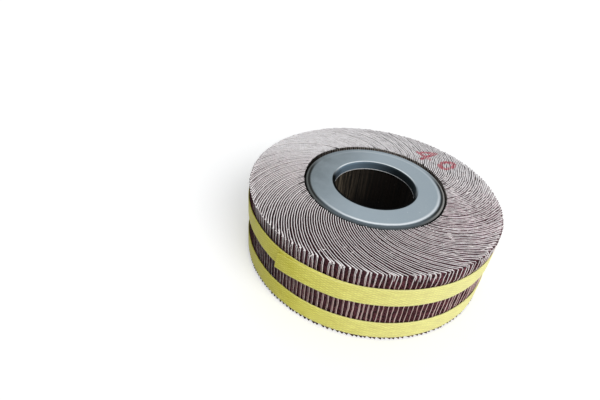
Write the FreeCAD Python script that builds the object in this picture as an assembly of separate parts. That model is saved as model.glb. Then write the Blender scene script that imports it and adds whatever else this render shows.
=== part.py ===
import FreeCAD, Part
import math
import os
from FreeCAD import Vector

# Whole wheel, in millimetres. The axis is Z, with the origin half way through the bore.
wheel_diameter = 165.0
wheel_width = 50.0
bore_diameter = 54.0

# Flaps of abrasive cloth, which stand side by side and touch at the bore
flap_thickness = 0.925
flap_gap = 0.443         # from flap to flap, square to them, all the way out
flap_chords = 3          # straight runs that stand for the curve of a flap

# Pressed steel flange, one let into each face
flange_sheet = 1.2
flange_width = 19.8      # from the bore to the outside of the turned-down rim
flange_recess = 0.5      # how far its flat lies below the flaps' edges
rim_height = 6.0
rim_round = 3.2          # outside radius of the bend into the rim
lip_height = 6.5         # of the collar that lines the bore
lip_round = 1.4
rim_steps = 2            # straight runs in the bend into the rim
lip_steps = 1

# Clearances between a flange and the notches in the flaps
lip_clearance = 0.1
notch_inner_clearance = 0.4
notch_outer_clearance = 1.2
notch_floor_clearance = 1.0

# Plastic straps that hold the flaps down
strap_width = 12.3
strap_thickness = 0.55
strap_clearance = 0.05
upper_strap_below_top = 9.2
lower_strap_above_bottom = 2.0

# Free end of the upper strap, which lies over its own start and hangs askew
tail_end_angle = -130.0      # degrees from +X, anticlockwise seen from above
tail_skew_length = 16.0      # from the free end to where it lies square
tail_drop = 3.0              # how much lower the free end hangs
tail_square_length = 24.0
tail_ramp_length = 8.0       # over which it sinks to the strap's own level

# Sizes that follow
wheel_radius = wheel_diameter / 2
face_z = wheel_width / 2
bore_radius = bore_diameter / 2
root_radius = bore_radius + flange_sheet + lip_clearance
rim_radius = bore_radius + flange_width
flat_z = face_z - flange_recess
seat_z = flat_z - flange_sheet
notch_inner_radius = rim_radius - flange_sheet - notch_inner_clearance
notch_outer_radius = rim_radius + notch_outer_clearance
notch_floor_z = flat_z - rim_height - notch_floor_clearance
flap_count = int(2 * math.pi * root_radius / flap_thickness)
curl_radius = flap_count * (flap_thickness + flap_gap) / (2 * math.pi)


def polar(radius, angle, z=0.0):
    return Vector(radius * math.cos(angle), radius * math.sin(angle), z)


def flap_angle(radius):
    """Angle that a flap has swept at a radius: none inside the curl circle, and its involute outside."""
    if radius <= curl_radius:
        return 0.0
    unwound = math.sqrt((radius / curl_radius) ** 2 - 1)
    return unwound - math.atan(unwound)


def flap_radii():
    """Radii of the corners along a flap, from the end of the resin to the tip."""
    first = math.sqrt(max(notch_outer_radius / curl_radius, 1) ** 2 - 1)
    last = math.sqrt((wheel_radius / curl_radius) ** 2 - 1)
    unwound = [first + (last - first) * i / flap_chords for i in range(1, flap_chords + 1)]
    return [notch_outer_radius] + [curl_radius * math.sqrt(1 + u ** 2) for u in unwound]


def flap_outline(radii, z):
    """Outline of all flaps seen from above: up one side of each, over its end and down the other."""
    points = []
    for flap in range(flap_count):
        root_angle = 2 * math.pi * flap / flap_count
        near_side = [polar(r, root_angle + flap_angle(r), z) for r in radii]
        far_side = [
            polar(r, root_angle + flap_angle(r) + flap_thickness / min(r, curl_radius), z)
            for r in reversed(radii)
        ]
        points += near_side + far_side
    return Part.Face(Part.makePolygon(points + points[:1]))


def revolved(profile):
    """Solid of revolution about Z of a closed outline given as (radius, z) corners."""
    corners = [Vector(r, 0, z) for r, z in profile]
    section = Part.Face(Part.makePolygon(corners + corners[:1]))
    return section.revolve(Vector(0, 0, 0), Vector(0, 0, 1), 360)


def mirrored(shape):
    """The same shape for the wheel's lower face."""
    return shape.mirror(Vector(0, 0, 0), Vector(0, 0, 1))


def make_flap_pack():
    """Flaps fused to their bonded roots, with the hole and the notches that take the flanges."""
    pack = flap_outline(flap_radii(), -face_z).extrude(Vector(0, 0, wheel_width))
    cutter_height = face_z + flange_sheet - notch_floor_z
    notch = flap_outline([notch_outer_radius], notch_floor_z).extrude(Vector(0, 0, cutter_height))
    land = Part.makeCylinder(notch_inner_radius, seat_z - notch_floor_z, Vector(0, 0, notch_floor_z))
    upper_notch = notch.cut(land)
    hole = Part.makeCylinder(root_radius, 2 * wheel_width, Vector(0, 0, -wheel_width))
    return pack.cut([upper_notch, mirrored(upper_notch), hole])


def bend(centre_r, centre_z, radius, start, end, steps):
    """Corners along a bend between two directions, in degrees from outwards to up."""
    angles = [math.radians(start + (end - start) * i / steps) for i in range(steps + 1)]
    return [(centre_r + radius * math.cos(a), centre_z + radius * math.sin(a)) for a in angles]


def make_flange():
    """Pressed ring: a flat with its outer rim turned down into the notches and a collar down the bore."""
    profile = bend(bore_radius + lip_round, flat_z - lip_round, lip_round, 180, 90, lip_steps)
    profile += bend(rim_radius - rim_round, flat_z - rim_round, rim_round, 90, 0, rim_steps)
    profile += [
        (rim_radius, flat_z - rim_height),
        (rim_radius - flange_sheet, flat_z - rim_height),
        (rim_radius - flange_sheet, seat_z),
        (bore_radius + flange_sheet, seat_z),
        (bore_radius + flange_sheet, flat_z - lip_height),
        (bore_radius, flat_z - lip_height),
    ]
    return revolved(profile)


strap_inner_radius = wheel_radius + strap_clearance
strap_outer_radius = strap_inner_radius + strap_thickness
tail_outer_radius = strap_outer_radius + strap_thickness


def make_strap(bottom_z):
    """Closed band round the flaps' tips."""
    outer = Part.makeCylinder(strap_outer_radius, strap_width, Vector(0, 0, bottom_z))
    inner = Part.makeCylinder(strap_inner_radius, strap_width, Vector(0, 0, bottom_z))
    return outer.cut(inner)


def tail_layer(start, end, ramp_end, bottom_z, height):
    """Second layer outside the band between two angles, which then sinks to the band by the ramp's end."""
    middle = (start + end) / 2
    edges = [
        Part.LineSegment(polar(strap_outer_radius, start), polar(tail_outer_radius, start)).toShape(),
        Part.Arc(
            polar(tail_outer_radius, start), polar(tail_outer_radius, middle), polar(tail_outer_radius, end)
        ).toShape(),
        Part.LineSegment(polar(tail_outer_radius, end), polar(strap_outer_radius, ramp_end)).toShape(),
        Part.Arc(
            polar(strap_outer_radius, ramp_end), polar(strap_outer_radius, middle), polar(strap_outer_radius, start)
        ).toShape(),
    ]
    layer = Part.Face(Part.Wire(edges)).extrude(Vector(0, 0, height))
    layer.translate(Vector(0, 0, bottom_z))
    return layer


def make_strap_tail(bottom_z):
    """Free end of the strap: square where it joins the band, and askew from there to its cut end."""
    free_end = math.radians(tail_end_angle)
    square_start = free_end + tail_skew_length / tail_outer_radius
    square_end = square_start + tail_square_length / tail_outer_radius
    ramp_end = square_end + tail_ramp_length / tail_outer_radius
    square = tail_layer(square_start, square_end, ramp_end, bottom_z, strap_width)

    sheet = tail_layer(
        free_end, square_start, square_start, bottom_z - 2 * tail_drop, strap_width + 4 * tail_drop
    )
    slope = math.degrees(math.asin(tail_drop / tail_skew_length))
    window_length = 4 * tail_skew_length
    window = Part.makeBox(
        window_length, 2 * tail_skew_length, strap_width,
        Vector(-window_length / 2, -tail_skew_length, -strap_width / 2),
    )
    window.rotate(Vector(0, 0, 0), Vector(0, 1, 0), -slope)
    window.rotate(Vector(0, 0, 0), Vector(0, 0, 1), math.degrees(square_start) + 90)
    window.translate(polar(tail_outer_radius, square_start, bottom_z + strap_width / 2))
    return [square, sheet.common(window)]


def make_upper_strap():
    bottom_z = face_z - upper_strap_below_top - strap_width
    return make_strap(bottom_z).fuse(make_strap_tail(bottom_z)).removeSplitter()


def main():
    flange = make_flange()
    parts = {
        "flap_pack": make_flap_pack(),
        "upper_flange": flange,
        "lower_flange": mirrored(flange),
        "upper_strap": make_upper_strap(),
        "lower_strap": make_strap(lower_strap_above_bottom - face_z),
    }
    os.makedirs("parts", exist_ok=True)
    print("flaps", flap_count, "curl radius", round(curl_radius, 2))
    for name, shape in parts.items():
        solid = shape.Solids[0]
        print(name, "solids", len(shape.Solids), "valid", solid.isValid(), "cm3", round(solid.Volume / 1000, 2))
        solid.exportStep(f"parts/{name}.step")


main()
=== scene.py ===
import math
from functools import reduce
import bpy
import numpy as np
from mathutils import Matrix, Vector


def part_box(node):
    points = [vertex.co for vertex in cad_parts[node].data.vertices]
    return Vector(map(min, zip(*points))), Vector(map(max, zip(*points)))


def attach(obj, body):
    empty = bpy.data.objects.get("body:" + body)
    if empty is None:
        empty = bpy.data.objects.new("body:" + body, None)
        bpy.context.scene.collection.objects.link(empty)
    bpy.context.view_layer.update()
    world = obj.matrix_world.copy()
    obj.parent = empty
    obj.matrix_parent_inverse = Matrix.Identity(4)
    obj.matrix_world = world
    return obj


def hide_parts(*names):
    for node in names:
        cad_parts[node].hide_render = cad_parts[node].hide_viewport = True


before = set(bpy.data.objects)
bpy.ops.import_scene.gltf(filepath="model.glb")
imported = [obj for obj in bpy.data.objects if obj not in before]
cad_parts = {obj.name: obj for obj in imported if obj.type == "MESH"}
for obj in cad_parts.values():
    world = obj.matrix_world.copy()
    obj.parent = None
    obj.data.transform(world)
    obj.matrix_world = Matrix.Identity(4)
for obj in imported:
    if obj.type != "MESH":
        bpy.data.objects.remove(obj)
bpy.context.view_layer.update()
MM = 0.001
TINY = 1e-6

# Sizes read from the frame
_, pack_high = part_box("flap_pack")
_, flange_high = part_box("upper_flange")
lower_low, lower_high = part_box("lower_strap")
FACE_Z = pack_high.z
WHEEL_RADIUS = pack_high.x
RIM_RADIUS = flange_high.x
FLAT_Z = flange_high.z
STRAP_OUTER = lower_high.x
STRAP_WIDTH = lower_high.z - lower_low.z
LOWER_BOTTOM_Z = lower_low.z

# Flaps
FLAP_COUNT = 192
FLAP_THICKNESS = 0.925 * MM
GRAIN_SHARE = 0.5
FLAP_PITCH = 1.368 * MM
CURL_RADIUS = FLAP_COUNT * FLAP_PITCH / (2 * math.pi)
NOTCH_RADIUS = RIM_RADIUS + 1.2 * MM
NOTCH_FLOOR_Z = FLAT_Z - 7.0 * MM
ROOT_RADIUS = 28.3 * MM
LAND_RADIUS = 45.2 * MM

# Flanges
BORE_RADIUS = 27.0 * MM
SHEET = 1.2 * MM
RIM_ROUND = 4.2 * MM
LIP_ROUND = 2.1 * MM
RIM_HEIGHT = 6.0 * MM
LIP_HEIGHT = 5.7 * MM
BARE_EDGE = 0.55 * MM
RING_STEPS = 160

# Seeds: the first flap's, the threads', the roots' and the straps'
FLAP_SEED, THREAD_SEED, ROOT_SEED, LOWER_STRAP_SEED, UPPER_STRAP_SEED = 1000, 31, 77, 5, 9

# Camera, fitted to the wheel's circles
CAMERA_PLACE = Vector((-29.3 * MM, -216.3 * MM, 163.3 * MM))
CAMERA_ELEVATION = math.radians(32.73)
CAMERA_ROLL = math.radians(7.97)
CAMERA_LENS = 23.0
CAMERA_SHIFT = (-0.0532, -0.0375)

# Light: name, direction it comes from, spread in degrees, strength and colour
WORLD_LEVEL = 0.30
FLOOR_GLOW = 0.37
SUNS = (
    ("key", (0.50, -0.58, 0.64), 40.0, 2.1, (1.0, 0.99, 0.98)),
    ("top", (-0.10, 0.40, 0.90), 60.0, 0.45, (0.97, 0.99, 1.0)),
)


def link(thing):
    bpy.context.scene.collection.objects.link(thing)


def set_mode(mode):
    bpy.ops.object.mode_set(mode=mode)


def smooth(degrees):
    """Smooth shading on the active piece, apart from edges sharper than an angle."""
    bpy.ops.object.shade_smooth_by_angle(angle=math.radians(degrees))


def deselect():
    bpy.ops.object.select_all(action="DESELECT")


def work_on(piece):
    deselect()
    piece.select_set(True)
    bpy.context.view_layer.objects.active = piece


def named(name):
    piece = bpy.context.object
    piece.name = piece.data.name = name
    return piece


def apply_place(piece):
    work_on(piece)
    bpy.ops.object.transform_apply(location=True, rotation=True, scale=True)


def join(pieces):
    deselect()
    for piece in pieces:
        piece.select_set(True)
    bpy.context.view_layer.objects.active = pieces[0]
    bpy.ops.object.join()


def read_points(mesh):
    flat = np.zeros(len(mesh.vertices) * 3)
    mesh.vertices.foreach_get("co", flat)
    return flat.reshape(-1, 3)


def write_points(mesh, points):
    mesh.vertices.foreach_set("co", points.ravel())
    mesh.update()


def copy_of(piece):
    """A copy with a mesh of its own, linked to the scene."""
    copy = piece.copy()
    copy.data = piece.data.copy()
    link(copy)
    return copy


def select_all():
    bpy.ops.mesh.select_all(action="SELECT")


def clear_selection(mode):
    """Leaves edit mode with nothing selected, and the vertex, edge or face mode set."""
    set_mode("EDIT")
    bpy.ops.mesh.select_mode(type=mode)
    bpy.ops.mesh.select_all(action="DESELECT")
    set_mode("OBJECT")


def select_edges(mesh, wanted):
    """Selects the edges, and only those, for which wanted(start, end) is true."""
    clear_selection("EDGE")
    for edge in mesh.edges:
        edge.select = wanted(*(mesh.vertices[i].co for i in edge.vertices))
    set_mode("EDIT")


def select_faces(mesh, wanted):
    """Selects the faces, and only those, for which wanted(centre) is true."""
    clear_selection("FACE")
    for face in mesh.polygons:
        face.select = wanted(face.center)
    set_mode("EDIT")


def select_corner(mesh, place):
    """Selects the one vertex nearest a place."""
    clear_selection("VERT")
    min(mesh.vertices, key=lambda v: (v.co - Vector(place)).length).select = True
    set_mode("EDIT")


# Materials
class Nodes:
    """A material's or group's tree, with short calls to add and join nodes."""

    def __init__(self, tree):
        self.tree = tree

    def add(self, kind, **values):
        node = self.tree.nodes.new(kind)
        for key, value in values.items():
            setattr(node, key, value)
        return node

    def feed(self, socket, value):
        """Joins another node's output to a socket, or sets the socket to a constant."""
        if isinstance(value, bpy.types.NodeSocket):
            self.tree.links.new(value, socket)
        elif socket.type == "RGBA" and len(value) == 3:
            socket.default_value = (*value, 1.0)
        else:
            socket.default_value = value

    def set(self, node, **inputs):
        for key, value in inputs.items():
            self.feed(node.inputs[key.replace("_", " ")], value)
        return node

    def math(self, operation, *values):
        node = self.add("ShaderNodeMath", operation=operation)
        for socket, value in zip(node.inputs, values):
            self.feed(socket, value)
        return node.outputs[0]

    def times(self, *values):
        return reduce(lambda a, b: self.math("MULTIPLY", a, b), values)

    def plus(self, a, b):
        return self.math("ADD", a, b)

    def minus(self, a, b):
        return self.math("SUBTRACT", a, b)

    def most(self, *values):
        return reduce(lambda a, b: self.math("MAXIMUM", a, b), values)

    def noise(self, vector, scale, detail=3.0, roughness=0.55):
        node = self.add("ShaderNodeTexNoise")
        self.set(node, Vector=vector, Scale=scale, Detail=detail, Roughness=roughness)
        return node.outputs["Fac"]

    def spread(self, value, low, high, to_low=0.0, to_high=1.0):
        """Stretches a value from one range to another, and holds it inside."""
        node = self.add("ShaderNodeMapRange")
        self.set(node, Value=value, From_Min=low, From_Max=high, To_Min=to_low, To_Max=to_high)
        return node.outputs["Result"]

    def mix(self, factor, a, b):
        node = self.add("ShaderNodeMix", data_type="RGBA")
        for index, value in zip((0, 6, 7), (factor, a, b)):
            self.feed(node.inputs[index], value)
        return node.outputs[2]

    def fade(self, a, b, value, *ends):
        """Goes from one colour to another as a value goes through a range."""
        return self.mix(self.spread(value, *ends), a, b)

    def split(self, vector):
        node = self.add("ShaderNodeSeparateXYZ")
        self.feed(node.inputs[0], vector)
        return node.outputs

    def group(self, tree, **inputs):
        return self.set(self.add("ShaderNodeGroup", node_tree=tree), **inputs).outputs

    def place(self, scale=(1.0, 1.0, 1.0)):
        """The object's own coordinates, stretched by a factor each way."""
        coordinates = self.add("ShaderNodeTexCoord")
        mapping = self.add("ShaderNodeMapping")
        self.set(mapping, Vector=coordinates.outputs["Object"], Scale=scale)
        return mapping.outputs["Vector"]

    def bump(self, height, strength, distance):
        node = self.add("ShaderNodeBump")
        self.set(node, Height=height, Strength=strength, Distance=distance)
        return node.outputs["Normal"]


def new_material(name):
    material = bpy.data.materials.new(name)
    material.use_nodes = True
    nodes = Nodes(material.node_tree)
    shader = material.node_tree.nodes["Principled BSDF"]
    return material, nodes, shader


def new_group(name, inputs, outputs):
    """A node group of plain numbers: the inputs are given with their values, the outputs by name."""
    tree = bpy.data.node_groups.new(name, "ShaderNodeTree")
    for label, value in inputs.items():
        socket = tree.interface.new_socket(name=label, in_out="INPUT", socket_type="NodeSocketFloat")
        socket.default_value = value
    for label in outputs:
        tree.interface.new_socket(name=label, in_out="OUTPUT", socket_type="NodeSocketFloat")
    nodes = Nodes(tree)
    return nodes, nodes.add("NodeGroupInput"), nodes.add("NodeGroupOutput")


def make_axis_group():
    """Distance from the wheel's axis, and the place across and above its middle, in millimetres."""
    nodes, _, result = new_group("about_axis", {}, ("Radius", "X", "Y", "Height"))
    x, y, z = nodes.split(nodes.place((1 / MM, 1 / MM, 1 / MM)))
    radius = nodes.math("SQRT", nodes.plus(nodes.times(x, x), nodes.times(y, y)))
    nodes.set(result, Radius=radius, X=x, Y=y, Height=z)
    return nodes.tree


def make_lint_group():
    """Mask of the lint and dust that a frayed edge picks up."""
    nodes, given, result = new_group("edge_lint", {"Fray": 0.0, "Scale": 1500.0}, ("Mask",))
    fuzz = nodes.spread(nodes.noise(nodes.place(), given.outputs["Scale"], 3.0, 0.7), 0.34, 0.60)
    nodes.set(result, Mask=nodes.times(given.outputs["Fray"], fuzz))
    return nodes.tree


# Stamp: its turn, and the digits' centres across and along the face in millimetres
STAMP_TURN = math.radians(-48.3)
FOUR_CENTRE, ZERO_CENTRE = (41.6, 50.3), (55.1, 37.7)


def make_stamp_group():
    """Mask of a plain number, 40, stamped in red over the flaps' upper edges."""
    nodes, given, result = new_group("stamp_ink", {"Cover": 0.8}, ("Mask",))
    place = nodes.place()
    x, y, z = nodes.split(place)
    cos_turn, sin_turn = math.cos(STAMP_TURN), math.sin(STAMP_TURN)

    def from_centre(centre):
        """Distances right and up of a digit's centre, in millimetres."""
        dx = nodes.math("DIVIDE", nodes.minus(x, centre[0] * MM), MM)
        dy = nodes.math("DIVIDE", nodes.minus(y, centre[1] * MM), MM)
        right = nodes.plus(nodes.times(dx, cos_turn), nodes.times(dy, sin_turn))
        up = nodes.minus(nodes.times(dy, cos_turn), nodes.times(dx, sin_turn))
        return right, up

    def stroke(digit, start, end, half_width):
        """1 along a straight stroke between two places on a digit."""
        run, rise = end[0] - start[0], end[1] - start[1]
        length = math.hypot(run, rise)
        right = nodes.minus(digit[0], (start[0] + end[0]) / 2)
        up = nodes.minus(digit[1], (start[1] + end[1]) / 2)
        along = nodes.plus(nodes.times(right, run / length), nodes.times(up, rise / length))
        across = nodes.minus(nodes.times(up, run / length), nodes.times(right, rise / length))
        inside = nodes.math("LESS_THAN", nodes.math("ABSOLUTE", along), length / 2 + half_width)
        thin = nodes.math("LESS_THAN", nodes.math("ABSOLUTE", across), half_width)
        return nodes.times(inside, thin)

    def ring(digit, wide, tall, line):
        """1 on an oval ring round a digit's centre."""
        u, v = nodes.math("DIVIDE", digit[0], wide), nodes.math("DIVIDE", digit[1], tall)
        far = nodes.math("SQRT", nodes.plus(nodes.times(u, u), nodes.times(v, v)))
        return nodes.math("LESS_THAN", nodes.math("ABSOLUTE", nodes.minus(far, 1.0)), line)

    four, zero = from_centre(FOUR_CENTRE), from_centre(ZERO_CENTRE)
    strokes = [
        stroke(four, (2.2, -8.6), (2.2, 8.6), 1.5),
        stroke(four, (-6.4, -3.6), (6.0, -3.6), 1.4),
        stroke(four, (-6.0, -3.4), (1.4, 8.4), 1.4),
        ring(zero, 4.2, 6.4, 0.36),
    ]
    patchy = nodes.spread(nodes.noise(place, 420.0, 2.0), 0.32, 0.56, 0.20, 0.95)
    on_face = nodes.math("GREATER_THAN", z, FACE_Z - 1.2 * MM)
    nodes.set(result, Mask=nodes.times(nodes.most(*strokes), on_face, patchy, given.outputs["Cover"]))
    return nodes.tree


def lint_on(nodes, base, lint, near, far, towards_back, scale):
    """Lays lint over a colour where the piece's fray attribute says so, with a painted sheen that makes
    it paler on the far side.
    """
    fray = nodes.add("ShaderNodeAttribute", attribute_name="fray").outputs["Fac"]
    mask = nodes.group(lint, Fray=fray, Scale=scale)["Mask"]
    blotches = nodes.spread(nodes.noise(nodes.place(), 150.0, 3.0, 0.6), 0.42, 0.58)
    clumps = nodes.spread(nodes.noise(nodes.place(), 430.0, 2.0, 0.6), 0.64, 0.71, 0.0, 0.8)
    darker, paler = (tuple(factor * value for value in near) for factor in (0.56, 1.12))
    near = nodes.mix(clumps, nodes.mix(blotches, darker, paler), (0.96, 0.92, 0.93))
    colour = nodes.fade(near, far, towards_back, -15.0, 32.0)
    return nodes.mix(mask, base, colour)


def paint_root_end_shade(nodes, base, from_axis, height):
    """Paints shade on the flaps' inner ends below their upper edges, where they go down into the notch.
    """
    inner = nodes.spread(from_axis, 52.2, 51.4)
    below = nodes.spread(height, 24.9, 24.6)
    return nodes.mix(nodes.times(inner, below), base, (0.016, 0.013, 0.011))


def ink_on(nodes, base, stamp, colour, cover):
    """Lays stamped ink over a colour."""
    return nodes.mix(nodes.group(stamp, Cover=cover)["Mask"], base, colour)


def make_grain_material():
    """Maroon aluminium oxide grain in its resin."""
    material, nodes, shader = new_material("maroon_grain")
    place = nodes.place()
    coarse = nodes.noise(place, 640.0, 4.0, 0.75)
    fine = nodes.noise(place, 1500.0, 3.0, 0.7)
    broad = nodes.noise(place, 110.0, 3.0)
    base = nodes.fade((0.008, 0.003, 0.004), (0.158, 0.042, 0.059), coarse, 0.43, 0.60)
    base = nodes.fade(base, (0.42, 0.205, 0.235), fine, 0.57, 0.70, 0.0, 0.7)
    base = nodes.fade(base, (0.050, 0.014, 0.018), broad, 0.44, 0.66, 0.0, 0.55)
    height = nodes.plus(nodes.times(coarse, 0.6), nodes.times(fine, 0.4))
    nodes.set(shader, Base_Color=base, Roughness=nodes.spread(fine, 0.3, 0.7, 0.60, 0.88),
              Specular_IOR_Level=0.15, Normal=nodes.bump(height, 0.9, 0.3 * MM))
    return material


def make_cut_material(axis, lint, stamp):
    """Cut edge of grain and glue: nearly black where clean, pinkish grey where matted."""
    material, nodes, shader = new_material("cut_grain_edge")
    from_axis, _, y, height = nodes.group(axis)
    coarse = nodes.noise(nodes.place(), 1100.0, 3.0, 0.7)
    base = nodes.fade((0.010, 0.005, 0.006), (0.125, 0.046, 0.054), coarse, 0.40, 0.68)
    # Lint, whose pale far colour is a painted sheen
    base = lint_on(nodes, base, lint, (0.53, 0.385, 0.42), (0.92, 0.90, 0.92), y, 1500.0)
    base = paint_root_end_shade(nodes, base, from_axis, height)
    base = ink_on(nodes, base, stamp, (0.42, 0.045, 0.07), 0.8)
    nodes.set(shader, Base_Color=base, Roughness=0.85, Specular_IOR_Level=0.15,
              Normal=nodes.bump(coarse, 0.8, 0.25 * MM))
    return material


def make_cloth_material(axis, lint, stamp):
    """Cream cotton backing: white where it is cut, dirty at the flaps' working ends, with painted shade
    in the gaps, on the left of the worn ends, along the bottom and at the inner ends, and a painted
    sheen on the far lint.
    """
    material, nodes, shader = new_material("cream_cloth")
    from_axis, x, y, height = nodes.group(axis)
    threads = nodes.noise(nodes.place((1.0, 1.0, 2.6)), 1300.0, 2.0, 0.6)
    dirt = nodes.noise(nodes.place(), 330.0, 4.0, 0.65)
    base = nodes.fade((0.95, 0.885, 0.88), (1.0, 0.98, 0.975), threads, 0.32, 0.58)
    base = nodes.fade(base, (0.40, 0.28, 0.27), dirt, 0.56, 0.78, 0.0, 0.40)
    # Lint, whose pale far colour is a painted sheen
    base = lint_on(nodes, base, lint, (0.68, 0.53, 0.56), (0.97, 0.955, 0.965), y, 900.0)
    tips = nodes.spread(from_axis, 80.9, 81.7)
    grubby = nodes.spread(dirt, 0.30, 0.62, 0.55, 1.0)
    worn = nodes.times(tips, nodes.spread(height, 24.0, 15.0), grubby)
    # Painted shade in the gaps between flaps just under the face, behind the tips, stronger on the left
    below = nodes.spread(height, 24.7, 23.9)
    behind_tip = nodes.spread(from_axis, 81.0, 80.0)
    gap_shade = nodes.times(below, behind_tip, nodes.spread(x, 45.0, -5.0, 0.25, 0.9))
    base = nodes.mix(gap_shade, base, (0.075, 0.055, 0.055))
    # Colour of the worn ends, with painted shade that darkens it towards the left
    worn_tone_and_left_shade = nodes.fade((0.72, 0.50, 0.46), (0.14, 0.10, 0.09), x, -20.0, -60.0)
    base = nodes.mix(worn, base, worn_tone_and_left_shade)
    # Painted shade along the flaps' bottom, below the lower strap
    base = nodes.fade(base, (0.035, 0.022, 0.022), height, -22.6, -23.2)
    base = paint_root_end_shade(nodes, base, from_axis, height)
    base = ink_on(nodes, base, stamp, (0.66, 0.085, 0.13), 0.9)
    nodes.set(shader, Base_Color=base, Roughness=0.88, Specular_IOR_Level=0.25,
              Normal=nodes.bump(threads, 0.7, 0.2 * MM))
    return material


def make_dusty_material():
    """Inner ends of the flaps in the flanges' notches, grey with dust."""
    material, nodes, shader = new_material("dusty_inner_end")
    dust = nodes.noise(nodes.place(), 500.0, 3.0, 0.6)
    base = nodes.fade((0.56, 0.50, 0.45), (0.20, 0.165, 0.14), dust, 0.38, 0.66)
    nodes.set(shader, Base_Color=base, Roughness=0.9)
    return material


def make_thread_material():
    """Loose cotton fibres, paler than the cloth and dusty in places."""
    material, nodes, shader = new_material("loose_cotton")
    dust = nodes.noise(nodes.place(), 380.0, 3.0, 0.6)
    strands = nodes.noise(nodes.place(), 2600.0, 2.0, 0.6)
    base = nodes.fade((0.90, 0.87, 0.86), (0.66, 0.56, 0.56), dust, 0.42, 0.68)
    nodes.set(shader, Base_Color=base, Roughness=0.9, Normal=nodes.bump(strands, 0.8, 0.1 * MM))
    return material


def make_resin_material(axis):
    """Near-black resin over the flaps' roots, streaked down the bore, with painted light on its left,
    painted shade further down, and dusty root ends.
    """
    material, nodes, shader = new_material("root_resin")
    from_axis, x, _, height = nodes.group(axis)
    streaks = nodes.noise(nodes.place((1.0, 1.0, 0.04)), 620.0, 3.0, 0.7)
    patches = nodes.noise(nodes.place((1.0, 1.0, 0.25)), 150.0, 3.0, 0.6)
    specks = nodes.noise(nodes.place(), 700.0, 2.0, 0.6)
    # Painted light: a warmer colour on the bore's left, where the key light falls, near black on its
    # right
    brown_lit_left = nodes.fade((0.100, 0.080, 0.056), (0.011, 0.007, 0.005), x, -24.0, 2.0)
    base = nodes.fade((0.005, 0.004, 0.003), brown_lit_left, streaks, 0.42, 0.62)
    base = nodes.fade(base, (0.006, 0.005, 0.003), patches, 0.52, 0.68, 0.0, 0.7)
    base = nodes.fade(base, (0.25, 0.21, 0.17), specks, 0.71, 0.78, 0.0, 0.5)
    # Painted shade, darker further down the bore
    base = nodes.fade(base, (0.004, 0.003, 0.003), height, -6.0, -15.0)
    base = nodes.fade(base, (0.14, 0.12, 0.10), from_axis, 31.0, 33.0)
    nodes.set(shader, Base_Color=base, Roughness=0.8, Specular_IOR_Level=0.15)
    return material


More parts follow.
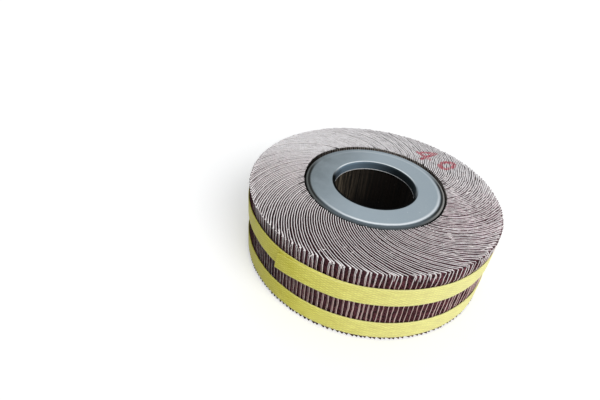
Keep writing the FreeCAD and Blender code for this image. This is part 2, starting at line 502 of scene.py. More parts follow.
def make_zinc_material(axis):
    """Blue-grey zinc plate, less metallic in its bends and lip, with painted shade on its left, painted
    glints and a painted highlight round the flat, and painted shade and reflections in its bends, lip
    and collar.
    """
    material, nodes, shader = new_material("zinc_plate")
    place = nodes.place()
    from_axis, x, y, height = nodes.group(axis)
    bloom = nodes.noise(place, 60.0, 4.0, 0.6)
    mottle = nodes.noise(place, 700.0, 3.0, 0.65)
    radius = nodes.plus(from_axis, nodes.minus(bloom, 0.5))
    # Painted shade: darker on the left, lighter towards the right where the key light falls
    towards_right = nodes.minus(x, nodes.times(y, 0.25))
    base = nodes.fade((0.124, 0.155, 0.172), (0.270, 0.328, 0.370), towards_right, -42.0, -4.0)
    base = nodes.fade(base, (0.30, 0.35, 0.385), bloom, 0.40, 0.66, 0.0, 0.30)
    base = nodes.fade(base, (0.34, 0.39, 0.41), mottle, 0.55, 0.75, 0.0, 0.16)

    # Painted glints speckled over the near right, and a painted highlight along the line where the flat
    # turns down
    near_right = nodes.minus(nodes.times(x, 0.55), y)
    glint_flecks = nodes.spread(nodes.noise(nodes.place((1.0, 0.5, 1.0)), 900.0, 2.0, 0.6), 0.66, 0.74)
    glint_flecks = nodes.times(glint_flecks, nodes.spread(near_right, 24.0, 40.0, 0.0, 0.35))
    base = nodes.mix(glint_flecks, base, (0.60, 0.66, 0.70))
    line = nodes.spread(nodes.math("ABSOLUTE", nodes.minus(radius, 42.5)), 1.25, 0.15)
    bright = nodes.times(nodes.spread(y, 5.0, -38.0, 0.20, 0.90), nodes.spread(x, -38.0, -10.0))
    base = nodes.mix(nodes.times(line, bright), base, (0.72, 0.76, 0.79))

    # Bend into the rim: painted shade, with a painted greenish grey reflection on a ridge that is palest
    # on the right, and then painted shade in the gap
    ridge = nodes.fade((0.070, 0.078, 0.074), (0.27, 0.27, 0.26), x, 8.0, 40.0)
    near = nodes.spread(y, 26.0, 8.0)
    bend_shade = nodes.times(nodes.spread(radius, 43.0, 44.0, 0.0, 0.95), near)
    ridge_reflection_mask = nodes.times(nodes.spread(radius, 44.9, 45.6, 0.0, 0.9), near)
    front = nodes.spread(y, -24.0, -40.0)
    base = nodes.mix(bend_shade, base, nodes.mix(front, (0.024, 0.024, 0.022), (0.120, 0.150, 0.172)))
    base = nodes.mix(ridge_reflection_mask, base, nodes.mix(front, ridge, (0.036, 0.046, 0.052)))
    bend_shade = nodes.times(bend_shade, nodes.minus(1.0, ridge_reflection_mask))
    base = nodes.fade(base, (0.010, 0.010, 0.010), from_axis, 46.2, 46.6)

    # Lip and collar: painted black shade where they turn away, and on the far side a painted highlight
    # and then a blue wall with painted shade towards the right
    right_end = nodes.times(nodes.spread(y, -12.0, 0.0), nodes.spread(x, 0.0, 15.0))
    far = nodes.most(nodes.spread(y, 2.0, 15.0), right_end)
    lip = nodes.spread(from_axis, 29.2, 28.8)
    blue = nodes.fade((0.130, 0.185, 0.235), (0.016, 0.024, 0.029), x, -14.0, 16.0)
    glint = nodes.fade((0.17, 0.21, 0.24), (0.66, 0.72, 0.75), y, 2.0, 18.0)
    wall = nodes.spread(from_axis, 28.3, 27.7)
    base = nodes.mix(lip, base, nodes.mix(far, (0.006, 0.007, 0.007), nodes.mix(wall, glint, blue)))
    foot = (FLAT_Z - LIP_HEIGHT) / MM
    low_edge = nodes.spread(height, foot + 0.50, foot + 0.35)
    base = nodes.mix(nodes.times(low_edge, lip), base, (0.86, 0.89, 0.91))
    turned = nodes.times(lip, nodes.minus(1.0, far))
    # Painted black shade on the lower flange's collar, low in the bore
    inside = nodes.times(nodes.spread(height, 5.0, -5.0), nodes.spread(from_axis, 27.4, 27.1))
    base = nodes.mix(inside, base, (0.010, 0.010, 0.010))
    dull = nodes.most(turned, inside, bend_shade, nodes.times(wall, far, 0.75))
    rough = nodes.most(nodes.spread(mottle, 0.3, 0.7, 0.34, 0.46), dull)
    nodes.set(shader, Base_Color=base, Metallic=nodes.spread(dull, 0.0, 1.0, 0.75, 0.0),
              Specular_IOR_Level=nodes.spread(dull, 0.0, 1.0, 0.4, 0.0), Roughness=rough,
              Normal=nodes.bump(mottle, 0.10, 0.1 * MM))
    return material


def make_bare_edge_material(axis):
    """Sheared edge of the steel, bright and not plated; painted black as shade at the lower flange, low
    in the bore.
    """
    material, nodes, shader = new_material("sheared_steel_edge")
    height = nodes.group(axis)["Height"]
    burr = nodes.noise(nodes.place(), 1400.0, 3.0, 0.6)
    base = nodes.fade((0.74, 0.76, 0.77), (0.95, 0.96, 0.97), burr, 0.36, 0.66)
    # Painted shade: black at the lower flange, low in the bore
    base = nodes.fade(base, (0.018, 0.019, 0.019), height, 5.0, -5.0)
    nodes.set(shader, Base_Color=base, Metallic=0.2, Roughness=nodes.spread(burr, 0.3, 0.7, 0.30, 0.50))
    return material


def make_strap_material(axis):
    """Yellow strapping, drawn lengthwise and embossed with a fine slanting weave, with a painted sheen
    on the right and painted shade on the left.
    """
    material, nodes, shader = new_material("yellow_strapping")
    run = nodes.add("ShaderNodeUVMap", uv_map="strap_run").outputs["UV"]

    def stretched(along, across, degrees=0.0):
        mapping = nodes.add("ShaderNodeMapping")
        turn = (0.0, 0.0, math.radians(degrees))
        nodes.set(mapping, Vector=run, Scale=(along, across, 1.0), Rotation=turn)
        return mapping.outputs["Vector"]

    _, x, y, _ = nodes.group(axis)
    fibres = nodes.noise(stretched(0.13, 1.0, -5.0), 1.0, 3.0, 0.7)
    patches = nodes.noise(stretched(0.05, 0.16), 1.0, 3.0, 0.6)
    waves = []
    for degrees in (24.0, -24.0):
        wave = nodes.add("ShaderNodeTexWave", wave_type="BANDS", bands_direction="Y")
        nodes.set(wave, Vector=stretched(1.0, 1.0, degrees), Scale=0.21, Distortion=1.8, Detail=2.0)
        waves.append(wave.outputs["Fac"])
    weave = nodes.most(*waves)
    half = STRAP_WIDTH / MM / 2
    off_middle = nodes.math("ABSOLUTE", nodes.minus(nodes.split(run)[1], half))
    selvage = nodes.spread(off_middle, half - 0.75, half - 0.35)
    base = nodes.fade((0.70, 0.63, 0.045), (0.96, 0.93, 0.16), fibres, 0.36, 0.62)
    base = nodes.fade(base, (0.95, 0.91, 0.18), patches, 0.40, 0.66, 0.0, 0.3)
    base = nodes.fade(base, (0.54, 0.47, 0.025), weave, 0.66, 1.0, 0.0, 0.60)
    base = nodes.mix(nodes.times(selvage, 0.5), base, (0.95, 0.93, 0.30))
    # Painted sheen: paler towards the right, where the key light falls
    towards_right = nodes.minus(x, y)
    base = nodes.fade(base, (1.0, 0.985, 0.72), towards_right, 25.0, 115.0, 0.0, 0.34)
    # Painted shade: darker towards the left
    base = nodes.fade(base, (0.38, 0.33, 0.004), x, -35.0, -82.0, 0.0, 0.70)
    height = nodes.plus(nodes.times(fibres, 0.6), nodes.times(weave, 0.4))
    nodes.set(shader, Base_Color=base, Roughness=nodes.spread(fibres, 0.3, 0.7, 0.42, 0.56),
              Specular_IOR_Level=0.25, Normal=nodes.bump(height, 0.35, 0.2 * MM))
    return material


def seen_directly(nodes):
    """1 for what the camera sees, in mirrors and through glass too."""
    path = nodes.add("ShaderNodeLightPath").outputs
    return nodes.most(path["Is Camera Ray"], path["Is Glossy Ray"], path["Is Transmission Ray"])


def make_floor_material():
    """Pale floor that keeps the wheel's shadow and is otherwise as white as the backdrop."""
    material, nodes, shader = new_material("pale_floor")
    nodes.set(shader, Base_Color=(0.82, 0.82, 0.82), Roughness=0.9, Specular_IOR_Level=0.0)
    glow_level = nodes.times(seen_directly(nodes), FLOOR_GLOW)
    glow = nodes.set(nodes.add("ShaderNodeEmission"), Strength=glow_level)
    both = nodes.add("ShaderNodeAddShader")
    nodes.feed(both.inputs[0], shader.outputs[0])
    nodes.feed(both.inputs[1], glow.outputs[0])
    nodes.feed(material.node_tree.nodes["Material Output"].inputs["Surface"], both.outputs[0])
    return material


# Stage
def make_camera():
    data = bpy.data.cameras.new("camera")
    data.lens = CAMERA_LENS
    data.shift_x, data.shift_y = CAMERA_SHIFT
    camera = bpy.data.objects.new("camera", data)
    link(camera)
    down, level = math.sin(CAMERA_ELEVATION), math.cos(CAMERA_ELEVATION)
    side, rise = Vector((1, 0, 0)), Vector((0, down, level))
    right = math.cos(CAMERA_ROLL) * side + math.sin(CAMERA_ROLL) * rise
    up = math.cos(CAMERA_ROLL) * rise - math.sin(CAMERA_ROLL) * side
    back = right.cross(up)
    turn = Matrix((right, up, back)).transposed()
    camera.matrix_world = Matrix.Translation(CAMERA_PLACE) @ turn.to_4x4()
    bpy.context.scene.camera = camera


def make_sun(name, towards, spread_degrees, strength, colour):
    data = bpy.data.lights.new(name, "SUN")
    data.angle, data.energy, data.color = math.radians(spread_degrees), strength, colour
    lamp = bpy.data.objects.new(name, data)
    link(lamp)
    lamp.rotation_euler = Vector(towards).to_track_quat("Z", "Y").to_euler()


def make_world():
    world = bpy.data.worlds.new("studio")
    bpy.context.scene.world = world
    world.use_nodes = True
    nodes = Nodes(world.node_tree)
    world.node_tree.nodes.clear()
    light = nodes.set(nodes.add("ShaderNodeBackground"), Color=(0.93, 0.96, 1.0), Strength=WORLD_LEVEL)
    white = nodes.set(nodes.add("ShaderNodeBackground"), Color=(1.0, 1.0, 1.0), Strength=1.0)
    both = nodes.add("ShaderNodeMixShader")
    for socket, value in zip(both.inputs, (seen_directly(nodes), light.outputs[0], white.outputs[0])):
        nodes.feed(socket, value)
    nodes.feed(nodes.add("ShaderNodeOutputWorld").inputs["Surface"], both.outputs[0])


def make_stage():
    bpy.ops.mesh.primitive_plane_add(size=6.0, location=(0, 0, -FACE_Z))
    floor = named("floor")
    apply_place(floor)
    floor.data.materials.append(make_floor_material())
    make_camera()
    make_world()
    for lamp in SUNS:
        make_sun(*lamp)


# Steel flanges
def make_flange(name, node, sign, zinc, bare):
    """Pressed ring: a section with sharp corners, which are rounded before it is spun."""
    middle = ((BORE_RADIUS + RIM_RADIUS) / 2, 0, FLAT_Z - SHEET / 2)
    bpy.ops.mesh.primitive_plane_add(size=1.0, location=middle, rotation=(math.pi / 2, 0, 0))
    piece = named(name)
    piece.scale = (RIM_RADIUS - BORE_RADIUS, SHEET, 1)
    apply_place(piece)
    mesh = piece.data
    underside = FLAT_Z - SHEET
    set_mode("EDIT")
    for radius in (BORE_RADIUS + SHEET, RIM_RADIUS - SHEET):
        select_all()
        bpy.ops.mesh.bisect(plane_co=(radius, 0, 0), plane_no=(1, 0, 0))
    for low, high, foot in (
        (BORE_RADIUS, BORE_RADIUS + SHEET, FLAT_Z - LIP_HEIGHT),
        (RIM_RADIUS - SHEET, RIM_RADIUS, FLAT_Z - RIM_HEIGHT),
    ):
        select_edges(mesh, lambda a, b: all(
            abs(p.z - underside) < TINY and low - TINY < p.x < high + TINY for p in (a, b)))
        bpy.ops.mesh.extrude_region_move(TRANSFORM_OT_translate={"value": (0, 0, foot - underside)})
    for corner, radius, steps in (
        ((BORE_RADIUS, 0, FLAT_Z), LIP_ROUND, 6),
        ((RIM_RADIUS, 0, FLAT_Z), RIM_ROUND, 10),
        ((RIM_RADIUS - SHEET, 0, underside), RIM_ROUND - SHEET, 6),
    ):
        select_corner(mesh, corner)
        bpy.ops.mesh.bevel(offset=radius, segments=steps, profile=0.5, affect="VERTICES")
    bpy.ops.mesh.select_mode(type="FACE")
    select_all()
    bpy.ops.mesh.bisect(plane_co=(0, 0, FLAT_Z - LIP_HEIGHT + BARE_EDGE), plane_no=(0, 0, 1))
    bpy.ops.mesh.select_mode(type="EDGE")
    bpy.ops.mesh.select_all(action="DESELECT")
    bpy.ops.mesh.select_non_manifold()
    bpy.ops.mesh.spin(steps=RING_STEPS, angle=2 * math.pi, center=(0, 0, 0), axis=(0, 0, 1))
    select_faces(mesh, lambda middle: abs(middle.y) < TINY / 10)
    bpy.ops.mesh.delete(type="ONLY_FACE")
    select_all()
    bpy.ops.mesh.remove_doubles(threshold=TINY)
    bpy.ops.mesh.normals_make_consistent(inside=False)
    set_mode("OBJECT")
    if sign < 0:
        points = read_points(mesh)
        points[:, 1:] *= -1
        write_points(mesh, points)
    work_on(piece)
    smooth(35)
    mesh.materials.append(zinc)
    mesh.materials.append(bare)
    for face in mesh.polygons:
        near_foot = sign * face.center.z < FLAT_Z - LIP_HEIGHT + BARE_EDGE
        face.material_index = int(near_foot and math.hypot(*face.center.xy) < BORE_RADIUS + SHEET)
    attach(piece, "root")
    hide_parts(node)


# Flaps
def wavy(rng, places, waves):
    """A smooth line through random phases, from -1 to 1, read at places from 0 to 1."""
    total = np.zeros(len(places))
    for wave in waves:
        total += rng.uniform(0.4, 1.0) * np.sin(2 * np.pi * (wave * places + rng.random()))
    return total / len(waves)


FLAP_STEPS = 22
TIP_STRIP = 0.34 * MM     # how far back from the tip the cloth shows on the grain side
TIP_CUT = 0.56            # share of the thickness that is grain at the very end
TIP_SLOPE = math.sqrt((WHEEL_RADIUS / CURL_RADIUS) ** 2 - 1)
TIP_SWING = 0.029         # radians, by which tips crowd on the wheel's sides
TIP_FADE = 6              # power of the share of the length, for what happens at the tip only
UPPER_FLARE = 0.15 * MM, 0.60 * MM    # on the left, and what the right adds
LOWER_FLARE = 0.65 * MM
FLARE_Z = 16.3 * MM
FLAP_LENGTH = (WHEEL_RADIUS ** 2 - NOTCH_RADIUS ** 2) / (2 * CURL_RADIUS)
FLAP_START = (NOTCH_RADIUS ** 2 - CURL_RADIUS ** 2) / (2 * CURL_RADIUS) - 0.1 * MM

# Bends: a flap's own, what matting adds, and shared ones as height, times round the wheel and phase
OWN_BEND, MATTED_BEND = 0.24 * MM, 0.20 * MM
SHARED_BENDS = ((0.30 * MM, 5, 0.8), (0.22 * MM, 11, 2.1))

# Tips: spread of their lean, waves sideways and outwards, and the ragged line of the strip behind them
TIP_LEAN = 0.12 * MM
TIP_WAVES = 0.13 * MM, 0.16 * MM
STRIP_WAVE = 0.26 * MM
SPARE_LENGTH = -0.4 * MM, 0.1 * MM

# Inner ends above the notch: how far back they lie, and how much farther on the far side
SETBACK = 0.1 * MM, 0.6 * MM
FAR_SETBACK = 1.6 * MM

# Upper and lower edges: their height's spread and wave, and how far matted and clean ones reach sideways
EDGE_SPREAD, EDGE_WAVE = 0.14 * MM, 0.12 * MM
MATTED_CLOTH, MATTED_GRAIN, CLEAN_SHRINK = 0.50 * MM, 0.14 * MM, 0.09 * MM

# Where rows of points cross the whole flap, and the tip alone, as shares of half its width
FLAP_LEVELS = (-0.955, 0.0, 0.955)
TIP_LEVELS = [0.16 * step for step in range(-5, 5) if step] + [0.66, 0.72, 0.86]

# How matted the cut edges are: degrees round the upper face, and amounts. The high amounts on the far
# side are partly a painted sheen, through the pale lint they lay there.
MATTED_AT = (-180, -160, -140, -110, -85, -65, -45, -20, 5, 25, 45, 70, 100, 140, 165, 180)
MATTED = (0.30, 0.12, 0.02, 0.02, 0.08, 0.28, 0.55, 0.76, 0.70, 0.55, 0.50, 0.70, 0.85, 0.85, 0.65, 0.30)


def make_flat_flap(grain, cloth, cut, dusty):
    """One flap as cut, lying along X: grain on its right side and cloth on its left."""
    bpy.ops.mesh.primitive_cube_add(size=1.0, location=(FLAP_LENGTH / 2, FLAP_THICKNESS / 2, 0))
    piece = named("flat_flap")
    piece.scale = (FLAP_LENGTH, FLAP_THICKNESS, 2 * FACE_Z)
    apply_place(piece)
    mesh = piece.data
    select_edges(mesh, lambda a, b: abs(a.x - b.x) > FLAP_LENGTH / 2)
    bpy.ops.mesh.subdivide(number_cuts=FLAP_STEPS - 1)
    glue_line = FLAP_THICKNESS * GRAIN_SHARE
    cuts = [((FLAP_LENGTH - TIP_STRIP, 0, 0), (1, 0, 0)), ((0, glue_line, 0), (0, 1, 0))]
    cuts += [((0, 0, level * FACE_Z), (0, 0, 1)) for level in FLAP_LEVELS]
    for place, normal in cuts:
        select_all()
        bpy.ops.mesh.bisect(plane_co=place, plane_no=normal)
    for level in TIP_LEVELS:
        select_faces(mesh, lambda middle: middle.x > FLAP_LENGTH * (1 - 1 / FLAP_STEPS))
        bpy.ops.mesh.bisect(plane_co=(0, 0, level * FACE_Z), plane_no=(0, 0, 1))
    set_mode("OBJECT")
    for material in (grain, cloth, cut, dusty):
        mesh.materials.append(material)
    for face in mesh.polygons:
        middle, normal = face.center, face.normal
        at_tip = middle.x > FLAP_LENGTH - TIP_STRIP
        if middle.y > glue_line or (at_tip and normal.x < 0.5):
            face.material_index = 1
        elif abs(normal.z) > 0.5 or abs(normal.x) > 0.5:
            face.material_index = 2
        if middle.x < TINY:
            face.material_index = 3 if middle.y > glue_line else 2
    mesh.attributes.new("fray", "FLOAT", "POINT")
    return piece


def in_degrees(angle):
    """An angle in degrees, from -180 to 180."""
    return np.degrees(np.arctan2(np.sin(angle), np.cos(angle)))


def matting(angle):
    """How matted the cut edges are at an angle round the upper face, from 0 to 1."""
    return np.interp(in_degrees(angle), MATTED_AT, MATTED)


def curled(along, across, up, root_angle):
    """Places on a flap that leaves its root at an angle and follows the curl circle's involute."""
    unwound = np.sqrt(2 * np.maximum(FLAP_START + along, 0) / CURL_RADIUS)
    facing = root_angle + unwound
    x = CURL_RADIUS * (np.cos(facing) + unwound * np.sin(facing)) - across * np.sin(facing)
    y = CURL_RADIUS * (np.sin(facing) - unwound * np.cos(facing)) + across * np.cos(facing)
    return np.stack([x, y, up], 1)


def shape_flap(flat, index, rng):
    """One flap's points, bent to its place with the unevenness of worn cloth."""
    along, across, up = flat[:, 0].copy(), flat[:, 1].copy(), flat[:, 2].copy()
    share, level = along / FLAP_LENGTH, (up / FACE_Z + 1) / 2
    tipward = share ** TIP_FADE
    root_angle = 2 * math.pi * index / FLAP_COUNT
    cloth_side = across > FLAP_THICKNESS * (GRAIN_SHARE + 0.2)
    grain_side = across < FLAP_THICKNESS * (GRAIN_SHARE - 0.2)
    between = ~cloth_side & ~grain_side
    end, start = share > 0.999, share < 0.001
    strip = (along > FLAP_LENGTH - TIP_STRIP - TINY) & ~end
    cut = np.abs(up) > 0.985 * FACE_Z

    place = curled(along, across, up, root_angle)
    matted = matting(np.arctan2(place[:, 1], place[:, 0]))

    # Bends that neighbours share, and smaller ones of the flap's own
    shared = sum(height * math.sin(times * root_angle + phase) for height, times, phase in SHARED_BENDS)
    own = wavy(rng, share, (1.6, 3.4, 5.2, 7.4))
    tip_line = wavy(rng, level, (1.1, 2.7, 4.9))
    lean = rng.normal(0, TIP_LEAN)
    held = np.minimum(1, 4 * share)
    across += held * (OWN_BEND + MATTED_BEND * matted) * own
    across += share ** 2 * (shared + TIP_WAVES[0] * tip_line + lean * up / FACE_Z)
    along += tipward * TIP_SLOPE * (across - flat[:, 1])

    # Uneven length, held in by the straps, and a ragged inner line to the frayed tip
    along += tipward * (rng.uniform(*SPARE_LENGTH) + TIP_WAVES[1] * tip_line)
    along += strip * grain_side * STRIP_WAVE * wavy(rng, level, (2.2, 4.4, 6.3))
    across += end * between * (TIP_CUT - GRAIN_SHARE) * FLAP_THICKNESS
    above = up > NOTCH_FLOOR_Z
    far_side = np.clip((place[:, 1] / MM - 4) / 22, 0, 1)
    along += start * above * (rng.uniform(*SETBACK) + FAR_SETBACK * far_side)

    # Uneven upper and lower edges
    near_edge = np.abs(up) > 0.93 * FACE_Z
    raised = rng.normal(0, EDGE_SPREAD) + EDGE_WAVE * wavy(rng, share, (0.8, 2.7, 5.2))
    up += np.sign(up) * near_edge * raised
    up = np.maximum(up, -FACE_Z)

    # Frayed cut edges, which spread over the gaps where the face is matted
    rag = np.clip(0.5 + 1.1 * wavy(rng, share, (3.1, 5.7, 8.3)), 0, 1)
    across += cut * cloth_side * (MATTED_CLOTH * matted * rag - CLEAN_SHRINK * (1 - matted))
    across -= cut * grain_side * MATTED_GRAIN * matted * rag
    along += end * cloth_side * rng.uniform(0.0, 0.15) * MM
    corner = cut & (share > 0.93) & (up > 0)
    if rng.random() < 0.6:
        across += corner * cloth_side * rng.uniform(0.1, 0.4) * MM
        up -= corner * end * rng.uniform(0.0, 0.4) * MM

    # Tips crowded together on one side and spread on the other, and flared where no strap holds them
    swing = share ** 2 * TIP_SWING * math.sin(2 * (root_angle + math.radians(103)))
    points = curled(along, across, up, root_angle)
    x, y = points[:, 0].copy(), points[:, 1].copy()
    points[:, 0] = x * np.cos(swing) - y * np.sin(swing)
    points[:, 1] = x * np.sin(swing) + y * np.cos(swing)
    radius = np.hypot(x, y)
    free = np.clip((up - FLARE_Z) / MM, 0, 1)
    left, added = UPPER_FLARE
    flare = tipward * free * (left + added * np.clip(1.2 * x / WHEEL_RADIUS, 0, 1))
    flare += tipward * (up < LOWER_BOTTOM_Z) * LOWER_FLARE
    points[:, :2] *= (1 + flare / radius)[:, None]
    limit = WHEEL_RADIUS - 0.03 * MM + flare
    points[:, :2] *= np.minimum(1, limit / (radius + flare))[:, None]
    fray = cut * (0.04 + 0.96 * matted) * (~end) * np.where(up > 0, 1.0, 0.2)
    return points, fray


def make_flaps(grain, cloth, cut, dusty):
    """All flaps, each a copy of the flat one with its own mesh, joined by quarters of the wheel."""
    flat_flap = make_flat_flap(grain, cloth, cut, dusty)
    flat = read_points(flat_flap.data)
    for quarter in range(4):
        copies = []
        for index in range(quarter * FLAP_COUNT // 4, (quarter + 1) * FLAP_COUNT // 4):
            copy = copy_of(flat_flap)
            points, fray = shape_flap(flat, index, np.random.default_rng(FLAP_SEED + index))
            write_points(copy.data, points)
            copy.data.attributes["fray"].data.foreach_set("value", fray.astype(np.float32))
            copies.append(copy)
        join(copies)
        piece = named(f"flaps_quarter_{quarter + 1}")
        smooth(40)
        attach(piece, "root")
        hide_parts("flap_pack")
    bpy.data.objects.remove(flat_flap)


# Loose threads
THREAD_STEPS = 6
HOOKS, BRIDGES, TANGLES = 115, 50, 190


def make_flat_thread(cotton):
    """One short thread along X, from 0 to 1, thin at its ends."""
    bpy.ops.mesh.primitive_cylinder_add(
        vertices=4, radius=0.5, depth=1.0, location=(0.5, 0, 0), rotation=(0, math.pi / 2, 0))
    piece = named("flat_thread")
    apply_place(piece)
    mesh = piece.data
    select_edges(mesh, lambda a, b: abs(a.x - b.x) > 0.5)
    bpy.ops.mesh.subdivide(number_cuts=THREAD_STEPS - 1)
    set_mode("OBJECT")
    points = read_points(mesh)
    points[:, 1:] *= (0.3 + 0.7 * np.sin(np.pi * points[:, 0]))[:, None]
    write_points(mesh, points)
    mesh.materials.append(cotton)
    return piece


def lay_thread(flat, start, middle, end, thickness):
    """A thread's points along the curve from start over middle to end."""
    t = flat[:, :1]
    line = (1 - t) ** 2 * start + 2 * t * (1 - t) * middle + t ** 2 * end
    slope = 2 * (1 - t) * (middle - start) + 2 * t * (end - middle)
    slope /= np.linalg.norm(slope, axis=1)[:, None]
    side = np.cross(slope, (0.05, 0.02, 1.0))
    side /= np.linalg.norm(side, axis=1)[:, None]
    return line + thickness * (flat[:, 1:2] * side + flat[:, 2:3] * np.cross(side, slope))


def on_flap(index, along, across, height):
    """A place by a flap, height above the upper face."""
    spot = [np.array([value]) for value in (along, across, FACE_Z + height)]
    return curled(*spot, 2 * math.pi * index / FLAP_COUNT)[0]


def flap_under(bearing, along):
    """Number of the flap that lies at a bearing, a given way along it."""
    swept = math.atan2(*on_flap(0, along, 0, 0)[1::-1])
    return int((bearing - swept) / (2 * math.pi) * FLAP_COUNT)


def hooks(rng):
    """Threads over the upper corners of the tips, hanging down in front."""
    for _ in range(HOOKS):
        back, tip = rng.uniform(0.4, 2.2) * MM, FLAP_LENGTH - rng.uniform(0.1, 0.5) * MM
        flap = flap_under(rng.choice((rng.uniform(-math.pi, math.pi), rng.normal(-0.9, 0.50))), tip)
        drop, lean = rng.uniform(0.3, 2.6) * MM, rng.choice((0.3, 0.0, -0.6, -1.7)) * MM
        yield (on_flap(flap, tip - back, 0.7 * MM, 0.10 * MM), on_flap(flap, tip, 0.8 * MM, 0.25 * MM),
               on_flap(flap, tip, lean, -drop), rng.uniform(0.35, 0.85) * MM)


def bridges(rng):
    """Threads from one flap over the gap to the next."""
    for _ in range(BRIDGES):
        flap, along = rng.integers(FLAP_COUNT), rng.uniform(0.1, 0.98) * FLAP_LENGTH
        shifted = along + rng.normal(0, 0.5) * MM
        yield (on_flap(flap, along, 0.7 * MM, 0.0), on_flap(flap, shifted, 1.5 * MM, 0.22 * MM),
               on_flap(flap, shifted, 2.5 * MM, 0.0), rng.uniform(0.28, 0.45) * MM)


def tangles(rng):
    """Longer threads that lie along the edges where the face is matted."""
    for _ in range(TANGLES):
        along = rng.uniform(0.05, 0.95) * FLAP_LENGTH
        flap = flap_under(rng.uniform(-1.1, 0.5), along)
        length, across = rng.uniform(1.5, 4.5) * MM, rng.normal(0.7, 0.5) * MM
        middle = on_flap(flap, along + length / 2, across, 0.25 * MM)
        end = on_flap(flap, along + length, across + rng.normal(0, 0.8) * MM, 0.0)
        yield on_flap(flap, along, across, 0.0), middle, end, rng.uniform(0.26, 0.52) * MM


def make_threads(cotton):
    """Cotton pulled out of the cut edges, all in one piece."""
    flat_thread = make_flat_thread(cotton)
    flat = read_points(flat_thread.data)
    rng = np.random.default_rng(THREAD_SEED)
    copies = []
    for run in (*hooks(rng), *bridges(rng), *tangles(rng)):
        copy = copy_of(flat_thread)
        write_points(copy.data, lay_thread(flat, *run))
        copies.append(copy)
    join(copies)
    piece = named("loose_threads")
    smooth(80)
    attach(piece, "root")
    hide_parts("flap_pack")
    bpy.data.objects.remove(flat_thread)


def make_roots(resin):
    """The flaps' bonded roots: a ring whose bore shows one ridge for each flap."""
    bpy.ops.mesh.primitive_circle_add(vertices=FLAP_COUNT * 4, radius=ROOT_RADIUS, location=(0, 0, 0))
    piece = named("bonded_roots")
    mesh = piece.data
    seat, floor_z = FLAT_Z - SHEET - 0.02 * MM, NOTCH_FLOOR_Z
    steps = [(ROOT_RADIUS, level * seat) for level in (-1.0, -0.7, -0.35, 0.0, 0.35, 0.7, 1.0)]
    steps += [
        (LAND_RADIUS, seat), (LAND_RADIUS, floor_z), (NOTCH_RADIUS, floor_z), (NOTCH_RADIUS, -floor_z),
        (LAND_RADIUS, -floor_z), (LAND_RADIUS, -seat), (ROOT_RADIUS, -seat),
    ]
    clear_selection("EDGE")
    set_mode("EDIT")
    select_all()
    bpy.ops.transform.translate(value=(0, 0, steps[0][1]))
    for (r0, z0), (r1, z1) in zip(steps, steps[1:]):
        bpy.ops.mesh.extrude_region_move(TRANSFORM_OT_translate={"value": (0, 0, z1 - z0)})
        if r1 != r0:
            bpy.ops.transform.resize(value=(r1 / r0, r1 / r0, 1), center_override=(0, 0, z1))
    select_all()
    bpy.ops.mesh.remove_doubles(threshold=TINY)
    bpy.ops.mesh.normals_make_consistent(inside=False)
    set_mode("OBJECT")
    points = read_points(mesh)
    angle = np.arctan2(points[:, 1], points[:, 0])
    radius = np.hypot(points[:, 0], points[:, 1])
    heights = np.random.default_rng(ROOT_SEED).normal(0, 0.16 * MM, FLAP_COUNT)
    share = (angle / (2 * np.pi) * FLAP_COUNT) % FLAP_COUNT
    flap = share.astype(int) % FLAP_COUNT
    crest = np.abs((share % 1) - 0.5) < 0.3
    inner = radius < ROOT_RADIUS + 0.1 * MM
    lift = np.where(crest, 0.5 * heights[flap] - 0.04 * MM, 0.08 * MM)
    new_radius = radius + inner * np.clip(lift, -0.4 * MM, 0.5 * MM)
    points[:, :2] *= (new_radius / radius)[:, None]
    write_points(mesh, points)
    mesh.materials.append(resin)
    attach(piece, "root")
    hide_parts("flap_pack")


# Straps
STRAP_THICKNESS = 0.55 * MM
UPPER_BOTTOM_Z = FACE_Z - 9.2 * MM - STRAP_WIDTH
TAIL_END = math.radians(-130.0)
TAIL_LENGTH = 48.0 * MM
TAIL_SKEW = 16.0 * MM
TAIL_RAMP = 8.0 * MM
TAIL_DROP = 3.0 * MM      # how much lower the free end hangs in all
TAIL_SETTLE = 1.3 * MM    # the part of it that is spread over the whole tail

# Where the upper strap rides high or low: degrees round the wheel, rise and spread
STRAP_RISES = ((-148, 1.0 * MM, 14), (-113, 0.35 * MM, 7), (-97, -0.4 * MM, 8), (60, 0.4 * MM, 30))


def strap_rise(angle):
    """How much higher than square the upper strap lies at an angle."""
    degrees = in_degrees(angle)
    return sum(rise * np.exp(-((degrees - middle) / wide) ** 2) for middle, rise, wide in STRAP_RISES)


def lay_out_strap(mesh, run_of, height_of):
    """Gives a strap's faces a map in millimetres, along its run and across its width."""
    layer = mesh.uv_layers.active or mesh.uv_layers.new()
    layer.name = "strap_run"
    for face in mesh.polygons:
        for loop in face.loop_indices:
            place = mesh.vertices[mesh.loops[loop].vertex_index].co
            layer.data[loop].uv = (run_of(place, face.center) / MM, height_of(place) / MM)


def round_run(place, middle):
    """Distance round the wheel, without a jump inside the face whose middle is given."""
    centre = math.atan2(middle.y, middle.x)
    angle = math.atan2(place.y, place.x)
    return (angle + 2 * math.pi * round((centre - angle) / (2 * math.pi))) * STRAP_OUTER


def thicken_strap(piece):
    work_on(piece)
    solid = piece.modifiers.new("thickness", "SOLIDIFY")
    solid.thickness, solid.offset = STRAP_THICKNESS, -1.0
    bpy.ops.object.modifier_apply(modifier=solid.name)
    soften = piece.modifiers.new("soft_edges", "BEVEL")
    soften.width, soften.segments, soften.limit_method = 0.12 * MM, 2, "ANGLE"
    soften.angle_limit = math.radians(60)
    bpy.ops.object.modifier_apply(modifier=soften.name)


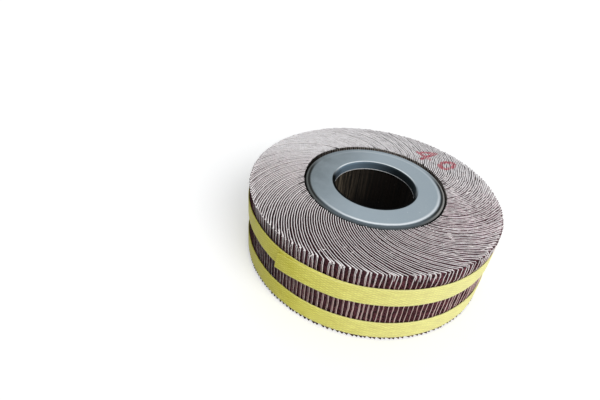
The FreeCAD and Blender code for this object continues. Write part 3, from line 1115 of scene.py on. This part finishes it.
def make_band(name, bottom_z, rise_of, seed):
    """Closed strap, pulled tight over the flaps' tips so that they ripple it a little."""
    bpy.ops.mesh.primitive_cylinder_add(
        vertices=FLAP_COUNT * 2, radius=STRAP_OUTER, depth=STRAP_WIDTH, end_fill_type="NOTHING",
        location=(0, 0, bottom_z + STRAP_WIDTH / 2))
    piece = named(name)
    apply_place(piece)
    mesh = piece.data
    select_edges(mesh, lambda a, b: abs(a.z - b.z) > STRAP_WIDTH / 2)
    bpy.ops.mesh.subdivide(number_cuts=4)
    set_mode("OBJECT")
    lay_out_strap(mesh, round_run, lambda place: place.z - bottom_z)
    points = read_points(mesh)
    angle = np.arctan2(points[:, 1], points[:, 0])
    ripple = np.random.default_rng(seed).normal(0, 1.0, FLAP_COUNT * 2)
    evened = (ripple + np.roll(ripple, 1) + np.roll(ripple, -1)) / 3
    index = np.rint(angle / np.pi * FLAP_COUNT).astype(int) % (FLAP_COUNT * 2)
    edge = np.abs(points[:, 2] - bottom_z - STRAP_WIDTH / 2) / (STRAP_WIDTH / 2)
    out = 0.05 * MM * evened[index] * (0.6 + 0.6 * edge)
    points[:, :2] *= (1 + out / STRAP_OUTER)[:, None]
    points[:, 2] += rise_of(angle)
    write_points(mesh, points)
    thicken_strap(piece)
    return piece


def make_tail():
    """Strap's free end over its own start, hanging askew, with its cut end sprung out a little."""
    bpy.ops.mesh.primitive_grid_add(
        x_subdivisions=60, y_subdivisions=6, size=1.0, location=(TAIL_LENGTH / 2, STRAP_WIDTH / 2, 0))
    piece = named("strap_tail")
    piece.scale = (TAIL_LENGTH, STRAP_WIDTH, 1)
    apply_place(piece)
    lay_out_strap(piece.data, lambda place, middle: place.x + 17 * MM, lambda place: place.y)
    points = read_points(piece.data)
    along, up = points[:, 0], points[:, 1]
    skew = np.clip(1 - along / TAIL_SKEW, 0, 1)
    ramp = np.clip((along - (TAIL_LENGTH - TAIL_RAMP)) / TAIL_RAMP, 0, 1)
    settle = np.clip(1 - along / TAIL_LENGTH, 0, 1)
    layer = STRAP_OUTER + STRAP_THICKNESS + 0.04 * MM
    sprung = 0.25 * MM * np.clip(1 - along / (4 * MM), 0, 1) ** 2
    radius = layer - ramp * (STRAP_THICKNESS + 0.12 * MM) + sprung
    height = UPPER_BOTTOM_Z + up - (TAIL_DROP - TAIL_SETTLE) * skew ** 1.2 - TAIL_SETTLE * settle
    slant = 0.16 * (up - STRAP_WIDTH / 2) * np.clip(1 - along / (8 * MM), 0, 1)
    angle = TAIL_END + (along + slant) / layer
    height += strap_rise(angle)
    write_points(piece.data, np.stack([radius * np.cos(angle), radius * np.sin(angle), height], 1))
    thicken_strap(piece)
    return piece


def finish_strap(piece, node, plastic):
    work_on(piece)
    smooth(40)
    piece.data.materials.append(plastic)
    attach(piece, "root")
    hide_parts(node)


def make_straps(plastic):
    def lower_rise(angle):
        return 0.12 * MM * np.sin(2 * angle + 0.5)

    lower = make_band("lower_strap_band", LOWER_BOTTOM_Z, lower_rise, LOWER_STRAP_SEED)
    finish_strap(lower, "lower_strap", plastic)
    upper = make_band("upper_strap_band", UPPER_BOTTOM_Z, strap_rise, UPPER_STRAP_SEED)
    join([upper, make_tail()])
    finish_strap(upper, "upper_strap", plastic)


def main():
    bpy.context.scene.view_settings.view_transform = "Standard"
    make_stage()
    axis, lint, stamp = make_axis_group(), make_lint_group(), make_stamp_group()
    zinc, bare = make_zinc_material(axis), make_bare_edge_material(axis)
    make_flange("upper_steel_ring", "upper_flange", 1, zinc, bare)
    make_flange("lower_steel_ring", "lower_flange", -1, zinc, bare)
    cloth, cut = make_cloth_material(axis, lint, stamp), make_cut_material(axis, lint, stamp)
    make_flaps(make_grain_material(), cloth, cut, make_dusty_material())
    make_roots(make_resin_material(axis))
    make_threads(make_thread_material())
    make_straps(make_strap_material(axis))
    deselect()


main()
